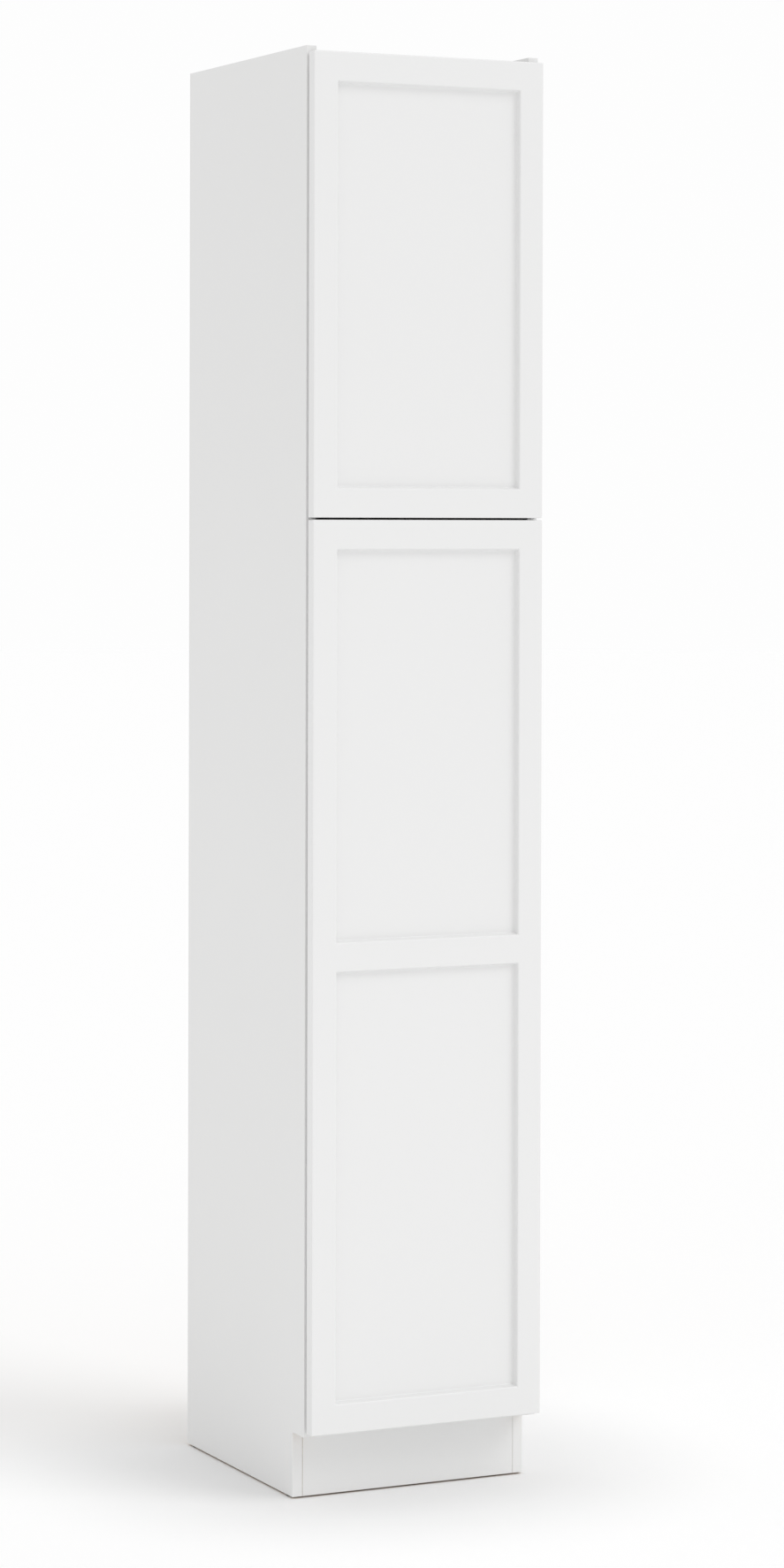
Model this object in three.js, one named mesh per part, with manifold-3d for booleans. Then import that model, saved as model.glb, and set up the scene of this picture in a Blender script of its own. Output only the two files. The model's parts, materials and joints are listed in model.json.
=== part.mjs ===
// Pantry cabinet: a tall frameless case on a recessed toe kick, closed by an upper and a lower
// door on concealed cup hinges. Millimetres, +Z up. The origin lies on the floor under the middle
// of the overall box. The doors face -Y and hang on the right-hand side, +X.

import * as THREE from 'three';
import { mergeVertices } from 'three/addons/utils/BufferGeometryUtils.js';
import Module from 'manifold-3d';

const wasm = await Module();
wasm.setup();

// ---------------------------------------------------------------- driving dimensions

const overallWidth = 381; // 15 in
const overallHeight = 2133.6; // 84 in
const overallDepth = 457.2; // 18 in over the door faces
const boardThickness = 16;
const fitGap = 0.3; // between pieces that touch
const overcut = 1; // how far a cut runs past the face it opens

const glideHeight = 2.5;
const glideRadius = 7;
const toeHeight = 98; // floor to the underside of the deck
const toeRecess = 40; // case front to the toe board

const doorThickness = 19;
const doorStandOff = 3; // case front to the back of a closed door
const doorSideReveal = 2;
const doorTopReveal = 9;
const doorBottom = 104;
const doorSplit = 1442.8; // height of the joint between the doors
const doorJoint = 3;
const doorFrameWidth = 38.6; // stiles
const doorRailWidth = 43;
const doorMidRailWidth = 42;
const doorMidRailCentre = 801.5;
const doorRecess = 10;
const fieldDraft = 3; // how far the walls of a recessed field slope in over its depth
const bumperRadius = 4;
const bumperInset = 20; // from the ends of the door

const backThickness = 5.7;
const backGroove = 6; // depth of the groove in the side panels
const railHeight = 96;
const topBoardDrop = 9; // top board below the upper ends of the side panels

const fixedShelfTop = 1437.8; // just under the joint, so no edge shows through it
const shelfSetBack = 16;
const shelfSideGap = 1;
const shelfRearGap = 2;
const lowerShelfHeights = [434, 818, 1138];
const upperShelfHeights = [1650, 1874];

// ---------------------------------------------------------------- derived planes

const halfWidth = overallWidth / 2;
const innerHalf = halfWidth - boardThickness;
const backPlane = overallDepth / 2;
const doorFront = -backPlane;
const doorBack = doorFront + doorThickness;
const caseFront = doorBack + doorStandOff;
const toeFront = caseFront + toeRecess;
const railFront = backPlane - boardThickness;
const backPanelRear = railFront - fitGap;
const backPanelFront = backPanelRear - backThickness;
const shelfRear = backPanelFront - fitGap;
const doorHalfWidth = halfWidth - doorSideReveal;

// ---------------------------------------------------------------- materials

function material(color, roughness, metalness = 0) {
  return () => new THREE.MeshStandardMaterial({ color, roughness, metalness });
}

const melamine = material(0xf1f1ef, 0.45);
const doorPaint = material(0xf4f4f2, 0.4);
const nickel = material(0xb8b8b4, 0.3, 0.9);
const darkSteel = material(0x8c8c8a, 0.4, 0.9);
const clearRubber = material(0xdcdcd8, 0.6);
const greyPlastic = material(0x5c5c5a, 0.6);

// ---------------------------------------------------------------- solids

const cabinet = new THREE.Group();

function addPart(name, geometry, makeMaterial) {
  const mesh = new THREE.Mesh(geometry, makeMaterial());
  mesh.name = name;
  cabinet.add(mesh);
  return mesh;
}

// A closed geometry as a solid that can be joined and cut.
function solid(geometry) {
  const bare = geometry.clone();
  bare.deleteAttribute('normal');
  bare.deleteAttribute('uv');
  const merged = mergeVertices(bare, 1e-4);
  return new wasm.Manifold(
    new wasm.Mesh({
      numProp: 3,
      vertProperties: new Float32Array(merged.attributes.position.array),
      triVerts: new Uint32Array(merged.index.array),
    }),
  );
}

function toGeometry(manifold) {
  const mesh = manifold.getMesh();
  const geometry = new THREE.BufferGeometry();
  geometry.setAttribute('position', new THREE.BufferAttribute(mesh.vertProperties, 3));
  geometry.setIndex(new THREE.BufferAttribute(mesh.triVerts, 1));
  geometry.computeVertexNormals();
  return geometry;
}

// A box from its lowest to its highest corner.
function block(low, high) {
  const size = high.map((value, axis) => value - low[axis]);
  const centre = high.map((value, axis) => (value + low[axis]) / 2);
  return new THREE.BoxGeometry(...size).translate(...centre);
}

// An outline in the XY plane, raised from z = low to z = high.
function raised(shape, low, high, curveSegments = 12) {
  const options = { depth: high - low, bevelEnabled: false, curveSegments };
  return new THREE.ExtrudeGeometry(shape, options).translate(0, 0, low);
}

// An upright cylinder, and one lying along Y.
function upright(x, y, low, high, radius, segments = 24) {
  const cylinder = new THREE.CylinderGeometry(radius, radius, high - low, segments);
  return cylinder.rotateX(Math.PI / 2).translate(x, y, (low + high) / 2);
}

function alongY(x, z, low, high, radius, segments = 32) {
  const cylinder = new THREE.CylinderGeometry(radius, radius, high - low, segments);
  return cylinder.translate(x, (low + high) / 2, z);
}

// ---------------------------------------------------------------- case

// Side panel: one board down to the floor, its lower front corner cut away for the toe kick and
// its inner face grooved for the back panel.
function sidePanel(name, side) {
  const outer = side * halfWidth;
  const inner = side * innerHalf;
  const grooveFloor = side * (innerHalf + backGroove);
  const board = solid(
    block(
      [Math.min(outer, inner), caseFront, glideHeight],
      [Math.max(outer, inner), backPlane, overallHeight],
    ),
  );
  const notch = solid(
    block(
      [-halfWidth - overcut, caseFront - overcut, 0],
      [halfWidth + overcut, toeFront, toeHeight],
    ),
  );
  const grooveMouth = side * (innerHalf - overcut);
  const groove = solid(
    block(
      [Math.min(grooveFloor, grooveMouth), backPanelFront - fitGap, toeHeight],
      [Math.max(grooveFloor, grooveMouth), backPanelRear + fitGap, overallHeight + overcut],
    ),
  );
  addPart(name, toGeometry(board.subtract(notch).subtract(groove)), melamine);
}

sidePanel('side_panel_left', -1);
sidePanel('side_panel_right', 1);

// Boards between the side panels, from front to rear and from low to high.
function crossBoard(name, front, rear, low, high, sideGap = fitGap) {
  const half = innerHalf - sideGap;
  addPart(name, block([-half, front, low], [half, rear, high]), melamine);
}

const deckTop = toeHeight + boardThickness;
const topBoardTop = overallHeight - topBoardDrop;

crossBoard('top_panel', caseFront, shelfRear, topBoardTop - boardThickness, topBoardTop);
crossBoard('bottom_deck', caseFront, shelfRear, toeHeight, deckTop);
crossBoard('fixed_shelf', caseFront, shelfRear, fixedShelfTop - boardThickness, fixedShelfTop);

function adjustableShelf(name, underside) {
  const front = caseFront + shelfSetBack;
  crossBoard(
    name,
    front,
    shelfRear - shelfRearGap,
    underside,
    underside + boardThickness,
    shelfSideGap,
  );
}

lowerShelfHeights.forEach((height, index) => adjustableShelf(`lower_shelf_${index + 1}`, height));
upperShelfHeights.forEach((height, index) => adjustableShelf(`upper_shelf_${index + 1}`, height));

// Back panel: a thin sheet let into the grooves of the sides, behind the shelves.
const backHalf = innerHalf + backGroove - fitGap;
addPart(
  'back_panel',
  block([-backHalf, backPanelFront, toeHeight + fitGap], [backHalf, backPanelRear, overallHeight]),
  melamine,
);

// Hanging rails stand on edge behind the back panel; the cabinet is screwed to a wall through them.
const railMiddle = fixedShelfTop - boardThickness / 2;
crossBoard('hanging_rail_top', railFront, backPlane, overallHeight - railHeight, overallHeight);
crossBoard(
  'hanging_rail_middle',
  railFront,
  backPlane,
  railMiddle - railHeight / 2,
  railMiddle + railHeight / 2,
);
crossBoard(
  'hanging_rail_bottom',
  railFront,
  backPlane,
  toeHeight + fitGap,
  toeHeight + fitGap + railHeight,
);

// Toe board, flush with the notched edges of the side panels, and a brace at the rear.
const braceRear = shelfRear;
crossBoard('toe_board', toeFront, toeFront + boardThickness, glideHeight, toeHeight - fitGap);
crossBoard(
  'rear_toe_brace',
  braceRear - boardThickness,
  braceRear,
  glideHeight,
  toeHeight - fitGap,
);

// Nail-on glides under the four corners of the side panels.
const glideInset = 22;
const glidePlaces = [
  ['left_front', -1, toeFront + glideInset],
  ['left_rear', -1, backPlane - glideInset],
  ['right_front', 1, toeFront + glideInset],
  ['right_rear', 1, backPlane - glideInset],
];
for (const [place, side, y] of glidePlaces) {
  const x = side * (halfWidth - boardThickness / 2);
  const pad = upright(x, y, 0, glideHeight - fitGap, glideRadius);
  addPart(`glide_${place}`, pad, greyPlastic);
}

// ---------------------------------------------------------------- hinges

// Places on a hinge are given in plan from the front corner of the right-hand side panel:
// inward from its outer face, and forward from its front edge.
const planX = (inward) => halfWidth - inward;
const planY = (forward) => caseFront - forward;

const hingeEndDistance = 100; // door end to the nearest hinge
const cupTab = 3; // door edge to the bore
const boreRadius = 17.5;
const boreDepth = 12.9;
const cupRadius = boreRadius - fitGap;
const cupWall = 1;
const cupDepth = boreDepth - fitGap;
const cupInward = doorSideReveal + cupTab + boreRadius;
const flangeThickness = 1.2;
const flangeRadius = cupRadius + 1;
const flangeWing = { width: 15, length: 58 };

const linkPivot = { inward: 43, forward: -2.8 };
const linkHalfThickness = 1.2;
const linkHalfHeight = 5.2;
const linkBarrelRadius = 2.6;
const linkTipRadius = 1.5;
const linkRoute = [
  [10.5, 8.5],
  [12.1, 8.6],
  [15.3, 11.6],
  [18.3, 11.6],
  [32.8, linkPivot.forward],
  [linkPivot.inward, linkPivot.forward],
];

const pinRadius = 1.2;
const pinHoleRadius = pinRadius + fitGap;
const pinHead = { radius: 2, thickness: 0.6 };

const armHalfHeight = 7.4;
const armCheek = 1.6;
const armRear = { inward: 28, forward: -62 };
const armShoulder = { inward: 36, forward: -46 }; // where the taper towards the fork starts
const armNeckForward = -16; // where the fork reaches its full reach inward
const armCrotch = { inward: 34, forward: -14 };
const armFootForward = -22; // front end of the arm's foot on the plate
const forkRadius = 3; // round end of the fork, about the pin
const forkSlot = { inward: [30, 52], forward: [-8.5, 4] };

const plateThickness = 2.6;
const plateSpine = { front: -16, halfHeight: 8 };
const plateWing = { halfLength: 25, halfWidth: 7 };
const plateScrewLine = -37; // behind the front edge of the side panel
const plateInward = boardThickness + fitGap;
const armInward = plateInward + plateThickness + fitGap;

// Cup: a pressed shell in the bore, with a flange and two screw wings on the back of the door.
function hingeCup(name, z) {
  const x = planX(cupInward);
  const inside = cupRadius - cupWall;
  const mouth = flangeThickness + fitGap;
  const profile = [
    [0, -cupDepth],
    [cupRadius, -cupDepth],
    [cupRadius, mouth],
    [inside, mouth],
    [inside, cupWall - cupDepth],
    [0, cupWall - cupDepth],
  ].map(([radius, height]) => new THREE.Vector2(radius, height));
  const shell = solid(new THREE.LatheGeometry(profile, 32).translate(x, doorBack, z));
  const flangeFront = doorBack + fitGap;
  const flangeRear = doorBack + mouth;
  const disc = solid(alongY(x, z, flangeFront, flangeRear, flangeRadius));
  const wings = solid(
    block(
      [x - flangeWing.width / 2, flangeFront, z - flangeWing.length / 2],
      [x + flangeWing.width / 2, flangeRear, z + flangeWing.length / 2],
    ),
  );
  const opening = solid(alongY(x, z, flangeFront - overcut, flangeRear + overcut, inside));
  addPart(name, toGeometry(shell.add(disc.add(wings).subtract(opening))), nickel);
}

// Link: a cranked strip from the pin in the arm into the cup. It swings clear of the cup's rim.
function hingeLink(name, z) {
  const low = z - linkHalfHeight;
  const high = z + linkHalfHeight;
  const points = linkRoute.map(([inward, forward]) => [planX(inward), planY(forward)]);
  const [pivotX, pivotY] = points[points.length - 1];
  const [tipX, tipY] = points[0];
  let body = solid(upright(pivotX, pivotY, low, high, linkBarrelRadius));
  body = body.add(solid(upright(tipX, tipY, low, high, linkTipRadius, 16)));
  for (let index = 1; index < points.length; index += 1) {
    const [x0, y0] = points[index - 1];
    const [x1, y1] = points[index];
    const length = Math.hypot(x1 - x0, y1 - y0);
    const strip = new THREE.BoxGeometry(length, 2 * linkHalfThickness, high - low);
    strip.rotateZ(Math.atan2(y1 - y0, x1 - x0));
    strip.translate((x0 + x1) / 2, (y0 + y1) / 2, z);
    body = body.add(solid(strip));
    body = body.add(solid(upright(x0, y0, low, high, linkHalfThickness, 16)));
  }
  const hole = solid(
    upright(pivotX, pivotY, low - overcut, high + overcut, pinHoleRadius, 16),
  );
  addPart(name, toGeometry(body.subtract(hole)), nickel);
}

// Arm: a tapered block on the mounting plate, forked at the front round the link.
function hingeArm(name, z) {
  const pivotX = planX(linkPivot.inward);
  const pivotY = planY(linkPivot.forward);
  const outline = new THREE.Shape();
  outline.moveTo(planX(armInward), planY(armRear.forward));
  outline.lineTo(planX(armRear.inward), planY(armRear.forward));
  outline.lineTo(planX(armShoulder.inward), planY(armShoulder.forward));
  outline.lineTo(pivotX - forkRadius, planY(armNeckForward));
  outline.lineTo(pivotX - forkRadius, pivotY);
  outline.absarc(pivotX, pivotY, forkRadius, Math.PI, 2 * Math.PI, false);
  outline.lineTo(planX(armCrotch.inward), planY(armCrotch.forward));
  outline.lineTo(planX(armInward), planY(armFootForward));
  outline.closePath();
  const blank = solid(raised(outline, z - armHalfHeight, z + armHalfHeight));
  const slot = solid(
    block(
      [planX(forkSlot.inward[1]), planY(forkSlot.forward[1]), z - armHalfHeight + armCheek],
      [planX(forkSlot.inward[0]), planY(forkSlot.forward[0]), z + armHalfHeight - armCheek],
    ),
  );
  const holeHalf = armHalfHeight + overcut;
  const hole = solid(upright(pivotX, pivotY, z - holeHalf, z + holeHalf, pinHoleRadius, 16));
  addPart(name, toGeometry(blank.subtract(slot).subtract(hole)), nickel);
}

// Pin: a headed rivet through the fork and the link.
function hingePin(name, z) {
  const shank = armHalfHeight + fitGap;
  const end = shank + pinHead.thickness;
  const profile = [
    [0, -end],
    [pinHead.radius, -end],
    [pinHead.radius, -shank],
    [pinRadius, -shank],
    [pinRadius, shank],
    [pinHead.radius, shank],
    [pinHead.radius, end],
    [0, end],
  ].map(([radius, height]) => new THREE.Vector2(radius, height));
  const pin = new THREE.LatheGeometry(profile, 16).rotateX(Math.PI / 2);
  const place = [planX(linkPivot.inward), planY(linkPivot.forward), z];
  addPart(name, pin.translate(...place), darkSteel);
}

// Mounting plate: a cross screwed to the inside of the side panel.
function hingePlate(name, z) {
  const x0 = planX(plateInward + plateThickness);
  const x1 = planX(plateInward);
  const spine = solid(
    block(
      [x0, planY(plateSpine.front), z - plateSpine.halfHeight],
      [x1, planY(armRear.forward), z + plateSpine.halfHeight],
    ),
  );
  const wings = solid(
    block(
      [x0, planY(plateScrewLine + plateWing.halfWidth), z - plateWing.halfLength],
      [x1, planY(plateScrewLine - plateWing.halfWidth), z + plateWing.halfLength],
    ),
  );
  addPart(name, toGeometry(spine.add(wings)), nickel);
}

// ---------------------------------------------------------------- doors

// Cutter for a recessed field, whose walls slope in towards its floor.
function fieldCut(low, high) {
  const flare = (fieldDraft * overcut) / doorRecess;
  const half = doorHalfWidth - doorFrameWidth + flare;
  const cutter = block(
    [-half, doorFront - overcut, low - flare],
    [half, doorFront + doorRecess, high + flare],
  );
  const middle = (low + high) / 2;
  const narrowing = fieldDraft + flare;
  const corners = cutter.attributes.position;
  for (let index = 0; index < corners.count; index += 1) {
    const [x, z] = [corners.getX(index), corners.getZ(index)];
    if (corners.getY(index) > doorFront) {
      corners.setX(index, x - Math.sign(x) * narrowing);
      corners.setZ(index, z - Math.sign(z - middle) * narrowing);
    }
  }
  return cutter;
}

// Door leaf: one routed board with a recessed field in each opening of its frame, bored on the
// back for the hinge cups.
function doorLeaf(name, low, high, fields, hingeHeights) {
  let leaf = solid(block([-doorHalfWidth, doorFront, low], [doorHalfWidth, doorBack, high]));
  for (const [fieldLow, fieldHigh] of fields) {
    leaf = leaf.subtract(solid(fieldCut(fieldLow, fieldHigh)));
  }
  for (const z of hingeHeights) {
    const boreMouth = doorBack + overcut;
    const bore = alongY(planX(cupInward), z, doorBack - boreDepth, boreMouth, boreRadius);
    leaf = leaf.subtract(solid(bore));
  }
  addPart(name, toGeometry(leaf), doorPaint);
}

// Bumpers: soft buttons on the back of the free edge, which land on the left side panel.
function doorBumpers(door, low, high) {
  const x = -(halfWidth - boardThickness / 2);
  const places = { bottom: low + bumperInset, top: high - bumperInset };
  for (const [end, z] of Object.entries(places)) {
    const button = alongY(x, z, doorBack + fitGap, caseFront - fitGap, bumperRadius, 20);
    addPart(`${door}_bumper_${end}`, button, clearRubber);
  }
}

function door(name, low, high, fields, hingeHeights) {
  doorLeaf(`${name}_leaf`, low, high, fields, hingeHeights);
  doorBumpers(name, low, high);
  hingeHeights.forEach((z, index) => {
    const hinge = `${name}_hinge_${index + 1}`;
    hingeCup(`${hinge}_cup`, z);
    hingeLink(`${hinge}_link`, z);
    hingeArm(`${hinge}_arm`, z);
    hingePin(`${hinge}_pin`, z);
    hingePlate(`${hinge}_plate`, z);
  });
}

const lowerTop = doorSplit - doorJoint / 2;
const upperBottom = doorSplit + doorJoint / 2;
const upperTop = overallHeight - doorTopReveal;

door(
  'upper_door',
  upperBottom,
  upperTop,
  [[upperBottom + doorRailWidth, upperTop - doorRailWidth]],
  [upperBottom + hingeEndDistance, upperTop - hingeEndDistance],
);

door(
  'lower_door',
  doorBottom,
  lowerTop,
  [
    [doorBottom + doorRailWidth, doorMidRailCentre - doorMidRailWidth / 2],
    [doorMidRailCentre + doorMidRailWidth / 2, lowerTop - doorRailWidth],
  ],
  [doorBottom + hingeEndDistance, (doorBottom + lowerTop) / 2, lowerTop - hingeEndDistance],
);

export default cabinet;
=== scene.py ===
"""Pantry cabinet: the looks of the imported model, in metres, doors facing -Y, hinged on +X."""

import json
import math

import bmesh
import bpy
from mathutils import Matrix, Vector

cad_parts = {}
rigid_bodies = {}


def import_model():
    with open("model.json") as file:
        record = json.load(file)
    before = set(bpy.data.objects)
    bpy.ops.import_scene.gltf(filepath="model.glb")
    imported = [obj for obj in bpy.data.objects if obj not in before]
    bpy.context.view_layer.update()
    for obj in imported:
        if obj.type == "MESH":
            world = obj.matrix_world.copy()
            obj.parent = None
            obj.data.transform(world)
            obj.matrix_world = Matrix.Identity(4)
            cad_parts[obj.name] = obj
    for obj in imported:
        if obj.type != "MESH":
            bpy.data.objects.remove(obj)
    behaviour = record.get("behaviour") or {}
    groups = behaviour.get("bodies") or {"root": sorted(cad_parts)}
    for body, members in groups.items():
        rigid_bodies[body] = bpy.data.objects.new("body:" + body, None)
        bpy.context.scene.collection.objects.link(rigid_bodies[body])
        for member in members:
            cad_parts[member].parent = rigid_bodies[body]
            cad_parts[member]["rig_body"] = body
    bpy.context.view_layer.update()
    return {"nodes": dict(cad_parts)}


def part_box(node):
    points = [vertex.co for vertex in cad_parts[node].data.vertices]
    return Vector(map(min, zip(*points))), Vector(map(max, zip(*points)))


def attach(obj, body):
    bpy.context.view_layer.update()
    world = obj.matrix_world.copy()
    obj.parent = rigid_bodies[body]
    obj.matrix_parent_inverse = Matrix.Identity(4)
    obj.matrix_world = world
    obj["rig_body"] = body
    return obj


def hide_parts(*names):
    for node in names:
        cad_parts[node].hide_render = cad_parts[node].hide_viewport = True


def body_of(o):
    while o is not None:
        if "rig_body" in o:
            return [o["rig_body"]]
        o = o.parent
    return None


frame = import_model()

MM = 0.001
scene = bpy.context.scene


# ---------------------------------------------------------------- camera
# A long lens held almost level, as high as the joint between the doors, looking at the front and
# at the left side. The lens is shifted down, so that the uprights of the cabinet stay upright.

CAMERA_PLACE = (-2.696, -5.679, 1.440)
CAMERA_TURN = math.radians(25.80)    # to the right of straight ahead
CAMERA_TILT = math.radians(-0.48)
CAMERA_ROLL = math.radians(0.13)
CAMERA_LENS = 94.63                  # focal length, in millimetres
CAMERA_SENSOR = 36.0                 # longer side of the sensor, in millimetres
CAMERA_SHIFT = -0.1459               # as a share of the picture's longer side
CAMERA_REACH = 100.0

camera = bpy.data.objects.new("camera", bpy.data.cameras.new("camera"))
camera.data.lens = CAMERA_LENS
camera.data.sensor_width = CAMERA_SENSOR
camera.data.shift_y = CAMERA_SHIFT
camera.data.clip_end = CAMERA_REACH
camera.matrix_world = (
    Matrix.Translation(CAMERA_PLACE)
    @ Matrix.Rotation(-CAMERA_TURN, 4, "Z")
    @ Matrix.Rotation(math.pi / 2 + CAMERA_TILT, 4, "X")
    @ Matrix.Rotation(CAMERA_ROLL, 4, "Z")
)
scene.collection.objects.link(camera)
scene.camera = camera
scene.view_settings.view_transform = "Standard"


# ---------------------------------------------------------------- melamine-faced board
# The case is cut from 16 mm particle board faced on both sides with white melamine paper.
# The faces have a fine pearl texture, the front edges a glued plastic band, and most edges that
# are out of sight are left raw.

DRIFT_DETAIL = 3.0
GRAIN_DETAIL = 2.0
RELIEF_HEIGHT = 0.05 * MM
CHIP_SCALE = 420.0             # chips of raw board per metre
BOARD_EASE = 0.4 * MM
ROUND_PROFILE = 0.5            # a bevel with this profile is a true arc
EDGE_ANGLE = math.radians(30)  # faces that meet at more than this make an edge to be eased
FACING = 0.8                   # least cosine between a face and a direction that it faces

FRONT, REAR = (0, -1, 0), (0, 1, 0)
LEFT, RIGHT = (-1, 0, 0), (1, 0, 0)
UP, DOWN = (0, 0, 1), (0, 0, -1)


def feed(socket, source):
    """Links a node's input to another node's output, or sets it to a plain value."""
    if isinstance(source, bpy.types.NodeSocket):
        socket.id_data.links.new(source, socket)
    else:
        socket.default_value = source


def add_node(tree, kind, *sources, output=0, settings=None, **named_sources):
    """Adds a node, feeds its inputs in order or by name, and gives back one of its outputs.

    An underscore in an input's name stands for a space. A list feeds all it holds to one input.
    """
    node = tree.nodes.new(kind)
    for setting, value in (settings or {}).items():
        setattr(node, setting, value)
    named = [(node.inputs[label.replace("_", " ")], source) for label, source in named_sources.items()]
    for socket, source in [*zip(node.inputs, sources), *named]:
        for each in source if isinstance(source, list) else [source]:
            feed(socket, each)
    return node.outputs[output]


def grain_group():
    """Node group: a slow drift and a fine grain over the surface, both from 0 to 1."""
    group = bpy.data.node_groups.new("surface_grain", "ShaderNodeTree")
    for label in ("Drift Scale", "Grain Scale", "Stretch"):
        group.interface.new_socket(label, in_out="INPUT", socket_type="NodeSocketFloat")
    for label in ("Drift", "Grain"):
        group.interface.new_socket(label, in_out="OUTPUT", socket_type="NodeSocketFloat")
    given = group.nodes.new("NodeGroupInput").outputs
    place = add_node(group, "ShaderNodeTexCoord", output="Object")
    stretch = add_node(group, "ShaderNodeCombineXYZ", X=1.0, Y=1.0, Z=given["Stretch"])
    stretched = add_node(group, "ShaderNodeVectorMath", place, stretch,
                         settings={"operation": "MULTIPLY"})
    drift = add_node(group, "ShaderNodeTexNoise", Vector=place, Scale=given["Drift Scale"],
                     Detail=DRIFT_DETAIL)
    grain = add_node(group, "ShaderNodeTexNoise", Vector=stretched, Scale=given["Grain Scale"],
                     Detail=GRAIN_DETAIL)
    result = group.nodes.new("NodeGroupOutput")
    feed(result.inputs["Drift"], drift)
    feed(result.inputs["Grain"], grain)
    return group


SURFACE_GRAIN = grain_group()


def finish_material(name, tones, roughness, grain_scale, bump, drift_scale=3.0, stretch=1.0,
                    metallic=0.0, coat=0.0):
    """A surface whose colour and roughness drift between two tones and over a (low, high) span."""
    material = bpy.data.materials.new(name)
    material.use_nodes = True
    tree = material.node_tree
    grain = tree.nodes.new("ShaderNodeGroup")
    grain.node_tree = SURFACE_GRAIN
    feed(grain.inputs["Drift Scale"], drift_scale)
    feed(grain.inputs["Grain Scale"], grain_scale)
    feed(grain.inputs["Stretch"], stretch)
    drift = grain.outputs["Drift"]
    one, other = tones
    low, high = roughness
    tone = add_node(tree, "ShaderNodeMix", output="Result", Factor=drift,
                    settings={"name": "tone", "data_type": "RGBA"}, A=(*one, 1.0), B=(*other, 1.0))
    gloss = add_node(tree, "ShaderNodeMapRange", Value=drift, To_Min=low, To_Max=high)
    relief = add_node(tree, "ShaderNodeBump", Strength=bump, Distance=RELIEF_HEIGHT,
                      Height=grain.outputs["Grain"])
    surface = tree.nodes["Principled BSDF"]
    for label, source in (("Base Color", tone), ("Roughness", gloss), ("Normal", relief),
                          ("Metallic", metallic), ("Coat Weight", coat)):
        feed(surface.inputs[label], source)
    return material


def chipboard_material():
    """Raw particle board: pressed chips, each in its own tan between two tones."""
    material = finish_material("raw_chipboard", tones=((0.36, 0.24, 0.13), (0.66, 0.50, 0.33)),
                               roughness=(0.75, 0.95), grain_scale=500, bump=0.6)
    tree = material.node_tree
    place = add_node(tree, "ShaderNodeTexCoord", output="Object")
    chips = add_node(tree, "ShaderNodeTexVoronoi", output="Color", Vector=place, Scale=CHIP_SCALE)
    shade = add_node(tree, "ShaderNodeSeparateColor", output="Red", Color=chips)
    feed(tree.nodes["tone"].inputs["Factor"], shade)
    return material


MELAMINE = finish_material("white_melamine", tones=((0.865, 0.865, 0.86), (0.85, 0.85, 0.845)),
                           roughness=(0.40, 0.48), grain_scale=1400, bump=0.35)
EDGE_BAND = finish_material("white_edge_band", tones=((0.875, 0.875, 0.87), (0.86, 0.86, 0.855)),
                            roughness=(0.34, 0.42), grain_scale=500, bump=0.3, stretch=0.05)
CHIPBOARD = chipboard_material()


def new_piece(name, mesh_data):
    """Turns a bmesh into an object at the origin."""
    mesh = bpy.data.meshes.new(name)
    mesh_data.to_mesh(mesh)
    mesh_data.free()
    piece = bpy.data.objects.new(name, mesh)
    scene.collection.objects.link(piece)
    return piece


def declare(piece, body, slot, *nodes):
    """Says which body a piece rides on and which CAD nodes it stands for; the finish slot it is given
    is not used.
    """
    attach(piece, body)
    if nodes:
        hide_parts(*nodes)


def add_block(mesh_data, low, high):
    """Adds a closed box between two corners."""
    size = Vector(high) - Vector(low)
    centre = (Vector(high) + Vector(low)) / 2
    bmesh.ops.create_cube(mesh_data, matrix=Matrix.Translation(centre) @ Matrix.Diagonal((*size, 1)))


def ease_edges(mesh_data, radius, segments=2, least_angle=EDGE_ANGLE):
    """Rounds every edge where two faces meet at more than an angle."""
    sharp = [edge for edge in mesh_data.edges
             if len(edge.link_faces) == 2 and edge.calc_face_angle() > least_angle]
    bmesh.ops.bevel(mesh_data, geom=sharp, offset=radius, segments=segments,
                    profile=ROUND_PROFILE, affect="EDGES", clamp_overlap=True)


def keep_modified(piece):
    """Makes the shape that a piece's modifiers give its own mesh, and clears them."""
    evaluated = piece.evaluated_get(bpy.context.evaluated_depsgraph_get())
    mesh = bpy.data.meshes.new_from_object(evaluated)
    piece.modifiers.clear()
    piece.data = mesh
    mesh.name = piece.name


def cut(piece, cutter):
    """Takes one closed mesh out of another and removes the cutter."""
    modifier = piece.modifiers.new("cut", "BOOLEAN")
    modifier.operation = "DIFFERENCE"
    modifier.solver = "EXACT"
    modifier.object = cutter
    keep_modified(piece)
    bpy.data.objects.remove(cutter)


def board_materials(piece, banded, raw, raw_material=CHIPBOARD):
    """Gives a board its faces, its banded edges and its raw edges, chosen by face direction."""
    mesh = piece.data
    mesh.materials.clear()
    for material in (MELAMINE, EDGE_BAND, raw_material):
        mesh.materials.append(material)
    for face in mesh.polygons:
        face.material_index = 0
        for index, directions in ((1, banded), (2, raw)):
            if any(face.normal.dot(Vector(direction)) > FACING for direction in directions):
                face.material_index = index


# ---------------------------------------------------------------- side panels
# Full-height boards with the lower front corner cut back for the toe kick, a groove for the back
# panel and two columns of 5 mm holes for the shelf pins, drilled at the usual 32 mm pitch.

SIDES = (("left", 1), ("right", -1))    # name, and the way along X to the inside of the case
GROOVE_CLEARANCE = 0.3 * MM
OVERCUT = 1 * MM                        # how far a cutter reaches past the face that it opens
HOLE_RADIUS = 2.5 * MM
HOLE_DEPTH = 11 * MM
HOLE_PITCH = 32 * MM
HOLE_LINE = 37 * MM                     # behind the case's front, and before the shelves' rear
HOLE_FACETS = 14
PIN_DROP = HOLE_RADIUS                  # hole centre below the shelf that its pin carries
HOLES_BELOW = 6                         # under the lowest shelf of each compartment
COMPARTMENTS = {"lower_shelf_1": 35, "upper_shelf_1": 18}    # lowest shelf: holes in a column


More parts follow.
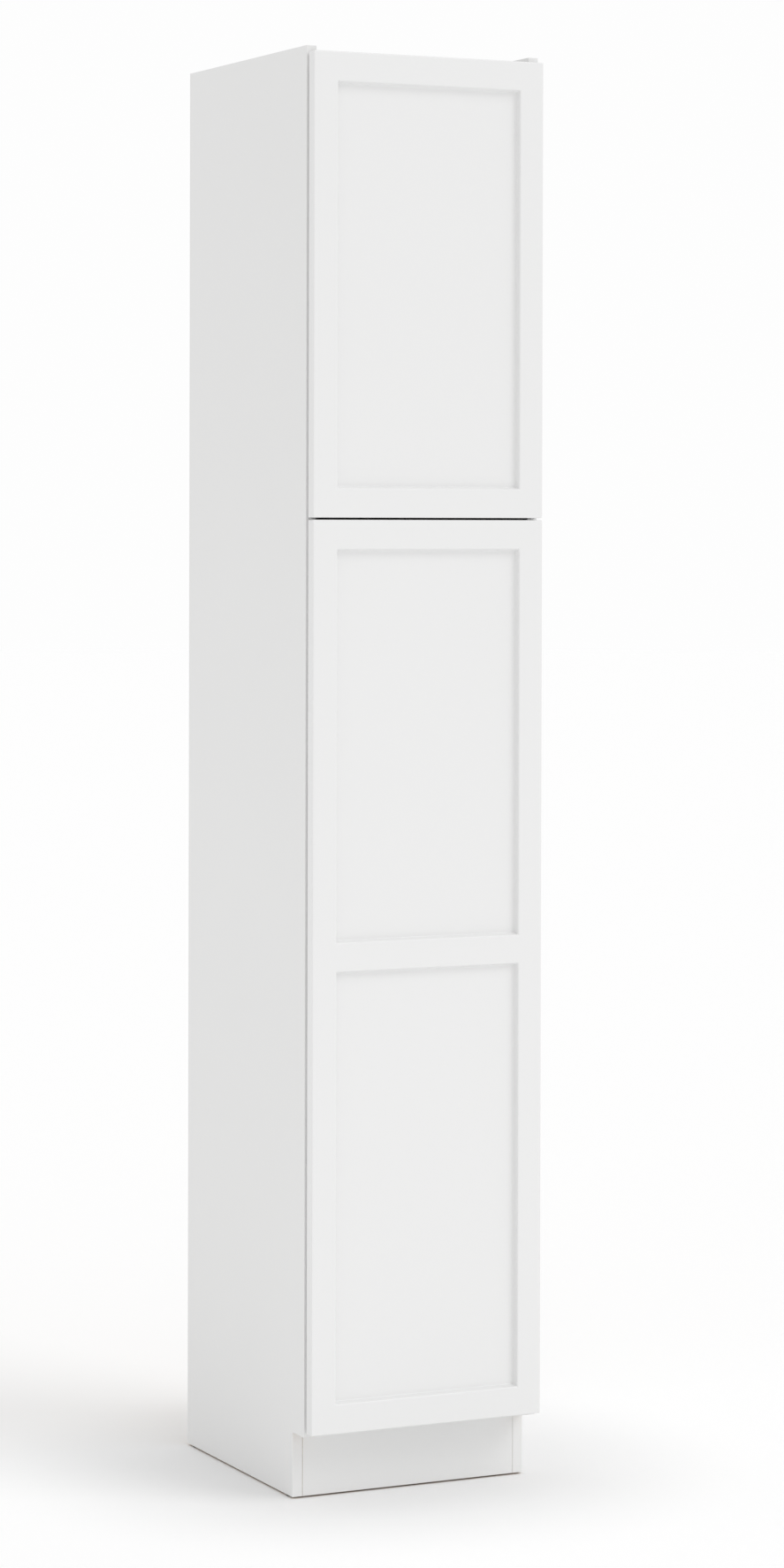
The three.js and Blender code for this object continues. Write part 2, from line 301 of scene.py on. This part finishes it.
def new_tree(name, **inputs):
    """A Geometry Nodes tree that takes points, inputs of named kinds and a material."""
    tree = bpy.data.node_groups.new(name, "GeometryNodeTree")
    for label, kind in {"Geometry": "Geometry", **inputs, "Material": "Material"}.items():
        label = label.replace("_", " ")
        tree.interface.new_socket(label, in_out="INPUT", socket_type=f"NodeSocket{kind}")
    tree.interface.new_socket("Geometry", in_out="OUTPUT", socket_type="NodeSocketGeometry")
    return tree, tree.nodes.new("NodeGroupInput").outputs


def end_tree(tree, given, shape, **placing):
    """Ends a tree: the shape on each given point, realized and set to the given material."""
    instances = add_node(tree, "GeometryNodeInstanceOnPoints", Points=given["Geometry"],
                         Instance=shape, **placing)
    realized = add_node(tree, "GeometryNodeRealizeInstances", Geometry=instances)
    finished = add_node(tree, "GeometryNodeSetMaterial", Geometry=realized,
                        Material=given["Material"])
    feed(tree.nodes.new("NodeGroupOutput").inputs["Geometry"], finished)
    return tree


def hole_column_tree():
    """Geometry Nodes: a column of plugs over each point, lying along X."""
    tree, given = new_tree("hole_column", Count="Int", Pitch="Float", Radius="Float", Depth="Float")
    step = add_node(tree, "ShaderNodeCombineXYZ", Z=given["Pitch"])
    line = add_node(tree, "GeometryNodeMeshLine", Count=given["Count"], Offset=step)
    plug = add_node(tree, "GeometryNodeMeshCylinder", Vertices=HOLE_FACETS,
                    Radius=given["Radius"], Depth=given["Depth"])
    column = add_node(tree, "GeometryNodeInstanceOnPoints", Points=line, Instance=plug,
                      Rotation=(0.0, math.pi / 2, 0.0))
    return end_tree(tree, given, column)


def run_tree(piece, tree, **values):
    """Runs a Geometry Nodes tree on a piece with named inputs and keeps the result as its mesh."""
    modifier = piece.modifiers.new(tree.name, "NODES")
    modifier.node_group = tree
    for item in tree.interface.items_tree:
        label = item.name.replace(" ", "_")
        if item.in_out == "INPUT" and label in values:
            modifier[item.identifier] = values[label]
    keep_modified(piece)


def points_piece(name, places):
    """An object that holds only points, for a tree to put its pieces on."""
    mesh_data = bmesh.new()
    for place in places:
        mesh_data.verts.new(place)
    return new_piece(name, mesh_data)


def inner_face(side, inward):
    """Where the inner face of a side panel lies along X."""
    low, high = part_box(f"side_panel_{side}")
    return high.x if inward > 0 else low.x


HOLE_COLUMN = hole_column_tree()
case_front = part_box("side_panel_left")[0].y
shelf_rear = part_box("fixed_shelf")[1].y
hole_lines = (case_front + HOLE_LINE, shelf_rear - HOLE_LINE)


def notched_board(node, notch_front, notch_top):
    """An upright board without its lower front corner, as a bmesh."""
    low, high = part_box(node)
    outline = [
        (low.y, notch_top), (low.y, high.z), (high.y, high.z),
        (high.y, low.z), (notch_front, low.z), (notch_front, notch_top),
    ]
    mesh_data = bmesh.new()
    profile = mesh_data.faces.new([mesh_data.verts.new((low.x, y, z)) for y, z in outline])
    raised = bmesh.ops.extrude_face_region(mesh_data, geom=[profile])
    moved = [item for item in raised["geom"] if isinstance(item, bmesh.types.BMVert)]
    bmesh.ops.translate(mesh_data, vec=(high.x - low.x, 0, 0), verts=moved)
    bmesh.ops.recalc_face_normals(mesh_data, faces=mesh_data.faces)
    return mesh_data


def back_groove(side, inward, bottom):
    """The cutter for the groove that takes the back panel's edge."""
    low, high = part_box("back_panel")
    ends = (low.x if inward > 0 else high.x, inner_face(side, inward) + inward * OVERCUT)
    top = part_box(f"side_panel_{side}")[1].z + OVERCUT
    groove = bmesh.new()
    add_block(groove, (min(ends), low.y - GROOVE_CLEARANCE, bottom),
              (max(ends), high.y + GROOVE_CLEARANCE, top))
    return new_piece("groove_cutter", groove)


def side_panel(side, inward):
    """One side of the case, grooved and drilled on its inner face."""
    node = f"side_panel_{side}"
    notch_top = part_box("bottom_deck")[0].z
    mesh_data = notched_board(node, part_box("toe_board")[0].y, notch_top)
    ease_edges(mesh_data, BOARD_EASE)
    panel = new_piece(f"case_{node}", mesh_data)
    cut(panel, back_groove(side, inward, notch_top))
    for shelf, count in COMPARTMENTS.items():
        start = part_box(shelf)[0].z - PIN_DROP - HOLES_BELOW * HOLE_PITCH
        plugs = points_piece("hole_cutter", [(inner_face(side, inward), y, start) for y in hole_lines])
        run_tree(plugs, HOLE_COLUMN, Count=count, Pitch=HOLE_PITCH, Radius=HOLE_RADIUS,
                 Depth=2 * HOLE_DEPTH, Material=CHIPBOARD)
        cut(panel, plugs)
    board_materials(panel, [FRONT], [REAR, DOWN])
    declare(panel, "case", "case_melamine", node)


for side, inward in SIDES:
    side_panel(side, inward)


# ---------------------------------------------------------------- boards between the sides
# Plain cut boards. The top, the deck and the shelves are banded at the front. The hanging rails,
# the brace and the toe board stand upright, with their white faces to the front and the rear.


def eased_board(node, banded, raw, raw_material=CHIPBOARD):
    """A board that fills the box of its CAD node, with its edges just broken."""
    mesh_data = bmesh.new()
    add_block(mesh_data, *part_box(node))
    ease_edges(mesh_data, BOARD_EASE)
    piece = new_piece(f"case_{node}", mesh_data)
    board_materials(piece, banded, raw, raw_material)
    declare(piece, "case", "case_melamine", node)


def nodes_with(*words):
    """The CAD nodes whose names hold all of these words."""
    return [name for name in frame["nodes"] if all(word in name for word in words)]


adjustable_shelves = nodes_with("_shelf_")
for node in ("top_panel", "bottom_deck", "fixed_shelf", *adjustable_shelves):
    eased_board(node, [FRONT], [REAR, LEFT, RIGHT])
upright_boards = [f"hanging_rail_{place}" for place in ("top", "middle", "bottom")]
for node in (*upright_boards, "rear_toe_brace", "toe_board"):
    eased_board(node, [], [UP, DOWN, LEFT, RIGHT])


# ---------------------------------------------------------------- back panel
# A sheet of thin hardboard in the grooves of the sides, faced white towards the shelves and
# left brown towards the wall.

HARDBOARD = finish_material("raw_hardboard", tones=((0.37, 0.25, 0.14), (0.34, 0.225, 0.125)),
                            roughness=(0.6, 0.8), grain_scale=700, bump=0.7, drift_scale=60,
                            stretch=0.3)

eased_board("back_panel", [], [REAR, UP, DOWN, LEFT, RIGHT], HARDBOARD)


# ---------------------------------------------------------------- glides
# Dark moulded buttons nailed under the feet of the side panels, with a rounded lower edge.

GLIDE_ROUNDING = 0.8 * MM
GLIDE_FACETS = 40
GLIDE_ARC_STEPS = 6
TURNED_SHARP = math.radians(35)    # edges of turned pieces above this angle stay crisp
GLIDE_PLASTIC = finish_material("glide_plastic", tones=((0.07, 0.07, 0.07), (0.05, 0.05, 0.05)),
                                roughness=(0.45, 0.6), grain_scale=1200, bump=0.5)


def smooth(piece, sharp_angle):
    """Shades a piece smooth, except across edges sharper than an angle."""
    piece.data.shade_smooth()
    piece.data.set_sharp_from_angle(angle=sharp_angle)


def quarter_turn(steps):
    """Even angles from 0 to a right angle."""
    return [math.pi / 2 * step / steps for step in range(steps + 1)]


def turned(name, profile, centre, axis, facets):
    """A turned piece: (radius, height) points spun about an axis, closed at both ends."""
    mesh_data = bmesh.new()
    turn = Vector(UP).rotation_difference(Vector(axis)).to_matrix().to_4x4()
    place = Matrix.Translation(centre) @ turn
    angles = [2 * math.pi * step / facets for step in range(facets)]
    rings = []
    for radius, height in profile:
        directions = [(math.cos(a), math.sin(a)) for a in angles] if radius else [(0, 0)]
        rings.append([mesh_data.verts.new(place @ Vector((radius * x, radius * y, height)))
                      for x, y in directions])
    for lower, upper in zip(rings, rings[1:]):
        for step in range(facets):
            after = (step + 1) % facets
            corners = [lower[step % len(lower)], lower[after % len(lower)],
                       upper[after % len(upper)], upper[step % len(upper)]]
            mesh_data.faces.new(list(dict.fromkeys(corners)))
    bmesh.ops.recalc_face_normals(mesh_data, faces=mesh_data.faces)
    piece = new_piece(name, mesh_data)
    smooth(piece, TURNED_SHARP)
    return piece


for node in nodes_with("glide_"):
    low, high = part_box(node)
    centre = ((low.x + high.x) / 2, (low.y + high.y) / 2, low.z)
    radius, height = (high.x - low.x) / 2, high.z - low.z
    arc = [(radius - GLIDE_ROUNDING * (1 - math.sin(a)), GLIDE_ROUNDING * (1 - math.cos(a)))
           for a in quarter_turn(GLIDE_ARC_STEPS)]
    profile = [(0, 0), *arc, (radius, height), (0, height)]
    glide = turned(f"foot_{node}", profile, centre, UP, GLIDE_FACETS)
    glide.data.materials.append(GLIDE_PLASTIC)
    declare(glide, "case", "glide_plastic", node)


# ---------------------------------------------------------------- door leaves
# Routed from one board each and lacquered white all over: a slim flat frame round fields that
# are sunk with sloping walls, every arris eased by sanding. The back is bored for the hinge cups.

DOOR_LACQUER = finish_material("white_lacquer", tones=((0.87, 0.87, 0.868), (0.855, 0.855, 0.852)),
                               roughness=(0.26, 0.34), grain_scale=260, bump=0.25,
                               drift_scale=2.0, coat=0.15)
DOOR_EASE = 1.6 * MM
DOOR_EASE_STEPS = 3
STILE = 38.6 * MM
RAIL = 43 * MM
MID_RAIL = 42 * MM
MID_RAIL_CENTRE = 801.5 * MM
RECESS = 10 * MM
RECESS_DRAFT = 3 * MM        # how far the walls of a field slope in
BORE_RADIUS = 17.5 * MM
BORE_DEPTH = 12.9 * MM
BORE_FACETS = 48


def sunk_field(mesh_data, rim):
    """Closes a rim of four front corners with a floor below it and walls that slope in."""
    middle = sum((corner.co for corner in rim), Vector()) / 4
    floor = [
        mesh_data.verts.new((
            corner.co.x - math.copysign(RECESS_DRAFT, corner.co.x - middle.x),
            corner.co.y + RECESS,
            corner.co.z - math.copysign(RECESS_DRAFT, corner.co.z - middle.z),
        ))
        for corner in rim
    ]
    mesh_data.faces.new(floor)
    for index in range(4):
        after = (index + 1) % 4
        mesh_data.faces.new([rim[index], rim[after], floor[after], floor[index]])


def leaf_mesh(low, high, mid_rails):
    """A closed leaf as a bmesh: its front is a grid of frame members and sunk fields."""
    columns = [low.x, low.x + STILE, high.x - STILE, high.x]
    rows = [low.z, low.z + RAIL]
    for centre in mid_rails:
        rows += [centre - MID_RAIL / 2, centre + MID_RAIL / 2]
    rows += [high.z - RAIL, high.z]
    mesh_data = bmesh.new()
    front = [[mesh_data.verts.new((x, low.y, z)) for z in rows] for x in columns]
    for row in range(len(rows) - 1):
        for column in range(len(columns) - 1):
            corners = [front[column][row], front[column + 1][row],
                       front[column + 1][row + 1], front[column][row + 1]]
            between_stiles = column == 1
            between_rails = row % 2 == 1
            if between_stiles and between_rails:
                sunk_field(mesh_data, corners)
            else:
                mesh_data.faces.new(corners)
    front_corners = [front[0][0], front[-1][0], front[-1][-1], front[0][-1]]
    back = [mesh_data.verts.new((corner.co.x, high.y, corner.co.z)) for corner in front_corners]
    mesh_data.faces.new(back)
    bottom = [column[0] for column in front]
    right = front[-1]
    top = [column[-1] for column in reversed(front)]
    left = list(reversed(front[0]))
    for index, edge in enumerate((bottom, right, top, left)):
        mesh_data.faces.new([*edge, back[(index + 1) % 4], back[index]])
    bmesh.ops.recalc_face_normals(mesh_data, faces=mesh_data.faces)
    return mesh_data


def cup_bores(body, back):
    """The cutter for the cup bores in the back of a leaf."""
    bores = bmesh.new()
    for cup in nodes_with(body, "_cup"):
        centre = sum(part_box(cup), Vector()) / 2
        place = Matrix.Translation((centre.x, back, centre.z)) @ Matrix.Rotation(math.pi / 2, 4, "X")
        bmesh.ops.create_cone(bores, cap_ends=True, segments=BORE_FACETS, radius1=BORE_RADIUS,
                              radius2=BORE_RADIUS, depth=2 * BORE_DEPTH, matrix=place)
    return new_piece("bore_cutter", bores)


def door_leaf(node, body, mid_rails):
    """One door: the routed leaf, eased, bored and lacquered."""
    low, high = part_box(node)
    mesh_data = leaf_mesh(low, high, mid_rails)
    ease_edges(mesh_data, DOOR_EASE, DOOR_EASE_STEPS)
    leaf = new_piece(f"{body}_leaf_eased", mesh_data)
    cut(leaf, cup_bores(body, high.y))
    leaf.data.materials.clear()
    leaf.data.materials.append(DOOR_LACQUER)
    declare(leaf, body, "door_paint", node)


door_leaf("upper_door_leaf", "upper_door", [])
door_leaf("lower_door_leaf", "lower_door", [MID_RAIL_CENTRE])


# ---------------------------------------------------------------- door bumpers
# Milky soft buttons stuck on the back of each door at its free edge, domed towards the case.

BUMPER_SKIRT = 0.35    # share of a bumper's height below its dome
BUMPER_FACETS = 28
DOME_STEPS = 8
BUMPER_RUBBER = finish_material("clear_bumper", tones=((0.80, 0.80, 0.79), (0.74, 0.74, 0.73)),
                                roughness=(0.25, 0.4), grain_scale=1500, bump=0.3, coat=0.3)

for node in nodes_with("_bumper_"):
    low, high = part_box(node)
    centre = ((low.x + high.x) / 2, low.y, (low.z + high.z) / 2)
    radius, height = (high.x - low.x) / 2, high.y - low.y
    skirt = BUMPER_SKIRT * height
    dome = [(radius * math.cos(a), skirt + (height - skirt) * math.sin(a))
            for a in quarter_turn(DOME_STEPS)[:-1]]
    profile = [(0, 0), (radius, 0), *dome, (0, height)]
    bumper = turned(f"{node}_button", profile, centre, REAR, BUMPER_FACETS)
    bumper.data.materials.append(BUMPER_RUBBER)
    declare(bumper, node.split("_bumper")[0], "bumper_rubber", node)


# ---------------------------------------------------------------- hinges
# Concealed 35 mm cup hinges, pressed from nickel-plated steel: the cup in the door, the cranked
# link, the arm and its rivet, and the plate on the side panel. Their pressed edges are rounded.

NICKEL = finish_material("bright_nickel", tones=((0.66, 0.65, 0.63), (0.58, 0.57, 0.55)),
                         roughness=(0.22, 0.34), grain_scale=800, bump=0.35, drift_scale=60,
                         metallic=1.0)
RIVET_STEEL = finish_material("rivet_steel", tones=((0.48, 0.48, 0.47), (0.40, 0.40, 0.39)),
                              roughness=(0.3, 0.42), grain_scale=1500, bump=0.4, drift_scale=80,
                              metallic=1.0)
HINGE_EASE = 0.3 * MM
HINGE_EDGE_ANGLE = math.radians(40)    # the facets of round stretches meet at less than this
HINGE_SHARP = math.radians(32)
FLAT_ANGLE = math.radians(1)           # triangles that meet at less than this are one flat face
MERGE_DISTANCE = 0.005 * MM


def pressed_part(node, material, slot):
    """A hinge part with the shape of its CAD node and rounded edges."""
    source = frame["nodes"][node]
    mesh_data = bmesh.new()
    mesh_data.from_mesh(source.data)
    bmesh.ops.remove_doubles(mesh_data, verts=mesh_data.verts, dist=MERGE_DISTANCE)
    bmesh.ops.dissolve_limit(mesh_data, angle_limit=FLAT_ANGLE, verts=mesh_data.verts,
                             edges=mesh_data.edges)
    ease_edges(mesh_data, HINGE_EASE, least_angle=HINGE_EDGE_ANGLE)
    part = new_piece(f"{node}_pressed", mesh_data)
    part.data.materials.append(material)
    smooth(part, HINGE_SHARP)
    declare(part, body_of(source)[0], slot, node)


for node in nodes_with("_hinge_"):
    if node.endswith("_pin"):
        pressed_part(node, RIVET_STEEL, "pin_steel")
    else:
        pressed_part(node, NICKEL, "hinge_nickel")


# ---------------------------------------------------------------- shelf pins
# Four nickel pins carry each adjustable shelf: a shank in a hole of the side panel, a thin
# collar against the board and a stub that the shelf lies on.

PIN_RADIUS = 2.3 * MM
PIN_STUB = 8 * MM
PIN_SHANK = 9 * MM
PIN_FACETS = 20
COLLAR_RADIUS = 3.6 * MM
COLLAR_THICKNESS = 0.7 * MM
COLLAR_FACETS = 28


def add_rod(tree, facets, radius, above, below):
    """A cylinder along Z that reaches from below the origin to above it."""
    length = add_node(tree, "ShaderNodeMath", above, below, settings={"operation": "ADD"})
    excess = add_node(tree, "ShaderNodeMath", above, below, settings={"operation": "SUBTRACT"})
    middle = add_node(tree, "ShaderNodeMath", excess, 0.5, settings={"operation": "MULTIPLY"})
    rod = add_node(tree, "GeometryNodeMeshCylinder", Vertices=facets, Radius=radius, Depth=length)
    offset = add_node(tree, "ShaderNodeCombineXYZ", Z=middle)
    return add_node(tree, "GeometryNodeTransform", Geometry=rod, Translation=offset)


def shelf_pin_tree():
    """Geometry Nodes: a pin on each point, with its stub along Z before the turn."""
    tree, given = new_tree("shelf_pin", Radius="Float", Stub="Float", Shank="Float",
                           Collar_Radius="Float", Collar_Thickness="Float", Turn="Vector")
    rod = add_rod(tree, PIN_FACETS, given["Radius"], given["Stub"], given["Shank"])
    collar = add_rod(tree, COLLAR_FACETS, given["Collar Radius"], given["Collar Thickness"], 0.0)
    pin = add_node(tree, "GeometryNodeJoinGeometry", Geometry=[rod, collar])
    return end_tree(tree, given, pin, Rotation=given["Turn"])


SHELF_PIN = shelf_pin_tree()
for side, inward in SIDES:
    places = [(inner_face(side, inward), y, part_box(shelf)[0].z - PIN_DROP)
              for shelf in adjustable_shelves for y in hole_lines]
    pins = points_piece(f"shelf_pins_{side}", places)
    run_tree(pins, SHELF_PIN, Radius=PIN_RADIUS, Stub=PIN_STUB, Shank=PIN_SHANK,
             Collar_Radius=COLLAR_RADIUS, Collar_Thickness=COLLAR_THICKNESS,
             Turn=(0.0, inward * math.pi / 2, 0.0), Material=NICKEL)
    declare(pins, "case", "hinge_nickel")


# ---------------------------------------------------------------- hinge screws
# Cross-head screws with low domed heads: two through each cup's wings into the door and two
# through each plate into the side panel.

SCREW_RADIUS = 3.2 * MM
SCREW_RISE = 0.42                 # height of the dome over its radius
SCREW_FACETS = 32
CROSS_LENGTH = 1.15               # of the cross recess, over the head's radius
CROSS_WIDTH = 0.24                # the same
CROSS_DEPTH = 0.4                 # over the dome's height
CUP_SCREW_SPACING = 45 * MM
PLATE_SCREW_SPACING = 32 * MM
PLATE_SCREW_LINE = 37 * MM        # behind the front edge of the side panel


def screw_head_tree():
    """Geometry Nodes: a domed head with a cross recess on each point, facing Z before the turn."""
    tree, given = new_tree("screw_head", Radius="Float", Rise="Float", Turn="Vector")
    ball = add_node(tree, "GeometryNodeMeshUVSphere", Segments=SCREW_FACETS,
                    Rings=SCREW_FACETS // 2, Radius=1.0)
    bars = []
    for length_x, length_y in ((CROSS_LENGTH, CROSS_WIDTH), (CROSS_WIDTH, CROSS_LENGTH)):
        bar = add_node(tree, "GeometryNodeMeshCube", Size=(length_x, length_y, 2 * CROSS_DEPTH))
        bars.append(add_node(tree, "GeometryNodeTransform", Geometry=bar,
                             Translation=(0.0, 0.0, 1.0)))
    head = add_node(tree, "GeometryNodeMeshBoolean", settings={"operation": "DIFFERENCE"},
                    Mesh_1=ball, Mesh_2=bars)
    rise = add_node(tree, "ShaderNodeMath", given["Radius"], given["Rise"],
                    settings={"operation": "MULTIPLY"})
    size = add_node(tree, "ShaderNodeCombineXYZ", X=given["Radius"], Y=given["Radius"], Z=rise)
    return end_tree(tree, given, head, Rotation=given["Turn"], Scale=size)


SCREW_HEAD = screw_head_tree()


def screw_heights(low, high, spacing):
    """Two heights at a spacing about the middle of a box."""
    return [(low.z + high.z + way * spacing) / 2 for way in (-1, 1)]


def screws(name, body, places, turn):
    """One piece that holds all the screw heads on a body that face one way."""
    heads = points_piece(name, places)
    run_tree(heads, SCREW_HEAD, Radius=SCREW_RADIUS, Rise=SCREW_RISE, Turn=turn, Material=NICKEL)
    declare(heads, body, "hinge_nickel")


for body in ("upper_door", "lower_door"):
    places = []
    for node in nodes_with(body, "_cup"):
        low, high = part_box(node)
        middle = (low.x + high.x) / 2
        places += [(middle, high.y, z) for z in screw_heights(low, high, CUP_SCREW_SPACING)]
    screws(f"{body}_cup_screws", body, places, (-math.pi / 2, 0.0, 0.0))

places = []
for node in nodes_with("_plate"):
    low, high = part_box(node)
    line = case_front + PLATE_SCREW_LINE
    places += [(low.x, line, z) for z in screw_heights(low, high, PLATE_SCREW_SPACING)]
screws("hinge_plate_screws", "case", places, (0.0, -math.pi / 2, 0.0))


# ---------------------------------------------------------------- light and floor
# A white floor without a horizon, a bright even surround and one soft light from the front
# right, which leaves the left side of the cabinet a shade darker than its front.

KEY_TURN = math.radians(38)      # from straight in front of the doors towards the hinged side
KEY_RISE = math.radians(45)
KEY_SPREAD = math.radians(30)    # the wider, the softer its shadows
KEY_STRENGTH = 0.61
SURROUND_LIGHT = 0.76            # how brightly the surround lights the cabinet
SURROUND_SEEN = 0.985            # how bright it looks behind the cabinet
FLOOR_RADIUS = 40.0
FLOOR_FACETS = 96
FLOOR_GLOW = 0.140               # lifts the floor to the tone of the surround
GLOW_REACH = (0.20, 0.62)        # radius over which that lift comes in, in metres; nearer in the floor stays darker, a painted shade round the cabinet

FLOOR_WHITE = finish_material("floor_white", tones=((0.955, 0.955, 0.955), (0.95, 0.95, 0.95)),
                              roughness=(0.8, 0.9), grain_scale=40, bump=0.1)


def add_glow_and_painted_shade(material):
    """Makes a floor glow faintly, from nothing under the cabinet to its full farther out, so the floor
    round the cabinet's foot is painted darker as shade.
    """
    tree = material.node_tree
    place = add_node(tree, "ShaderNodeTexCoord", output="Object")
    distance = add_node(tree, "ShaderNodeVectorMath", place, output="Value",
                        settings={"operation": "LENGTH"})
    near, far = GLOW_REACH
    # painted shade: the glow fades to nothing near the cabinet, darkening the floor round its foot
    glow = add_node(tree, "ShaderNodeMapRange", settings={"interpolation_type": "SMOOTHSTEP"},
                    Value=distance, From_Min=near, From_Max=far)
    surface = tree.nodes["Principled BSDF"]
    feed(surface.inputs["Emission Color"], glow)
    feed(surface.inputs["Emission Strength"], FLOOR_GLOW)


add_glow_and_painted_shade(FLOOR_WHITE)
disc = bmesh.new()
bmesh.ops.create_circle(disc, cap_ends=True, segments=FLOOR_FACETS, radius=FLOOR_RADIUS)
floor = new_piece("floor", disc)
floor.data.materials.append(FLOOR_WHITE)

world = bpy.data.worlds.new("surround")
world.use_nodes = True
scene.world = world
surround = world.node_tree
white = (1.0, 1.0, 1.0, 1.0)
lit = surround.nodes["Background"]
feed(lit.inputs["Color"], white)
feed(lit.inputs["Strength"], SURROUND_LIGHT)
seen = add_node(surround, "ShaderNodeBackground", Color=white, Strength=SURROUND_SEEN)
is_seen = add_node(surround, "ShaderNodeLightPath", output="Is Camera Ray")
either = add_node(surround, "ShaderNodeMixShader", is_seen, lit.outputs["Background"], seen)
feed(surround.nodes["World Output"].inputs["Surface"], either)

sun = bpy.data.objects.new("soft_light", bpy.data.lights.new("soft_light", "SUN"))
sun.data.energy = KEY_STRENGTH
sun.data.angle = KEY_SPREAD
towards_light = Vector((
    math.sin(KEY_TURN) * math.cos(KEY_RISE),
    -math.cos(KEY_TURN) * math.cos(KEY_RISE),
    math.sin(KEY_RISE),
))
sun.rotation_euler = towards_light.to_track_quat("Z", "Y").to_euler()
scene.collection.objects.link(sun)
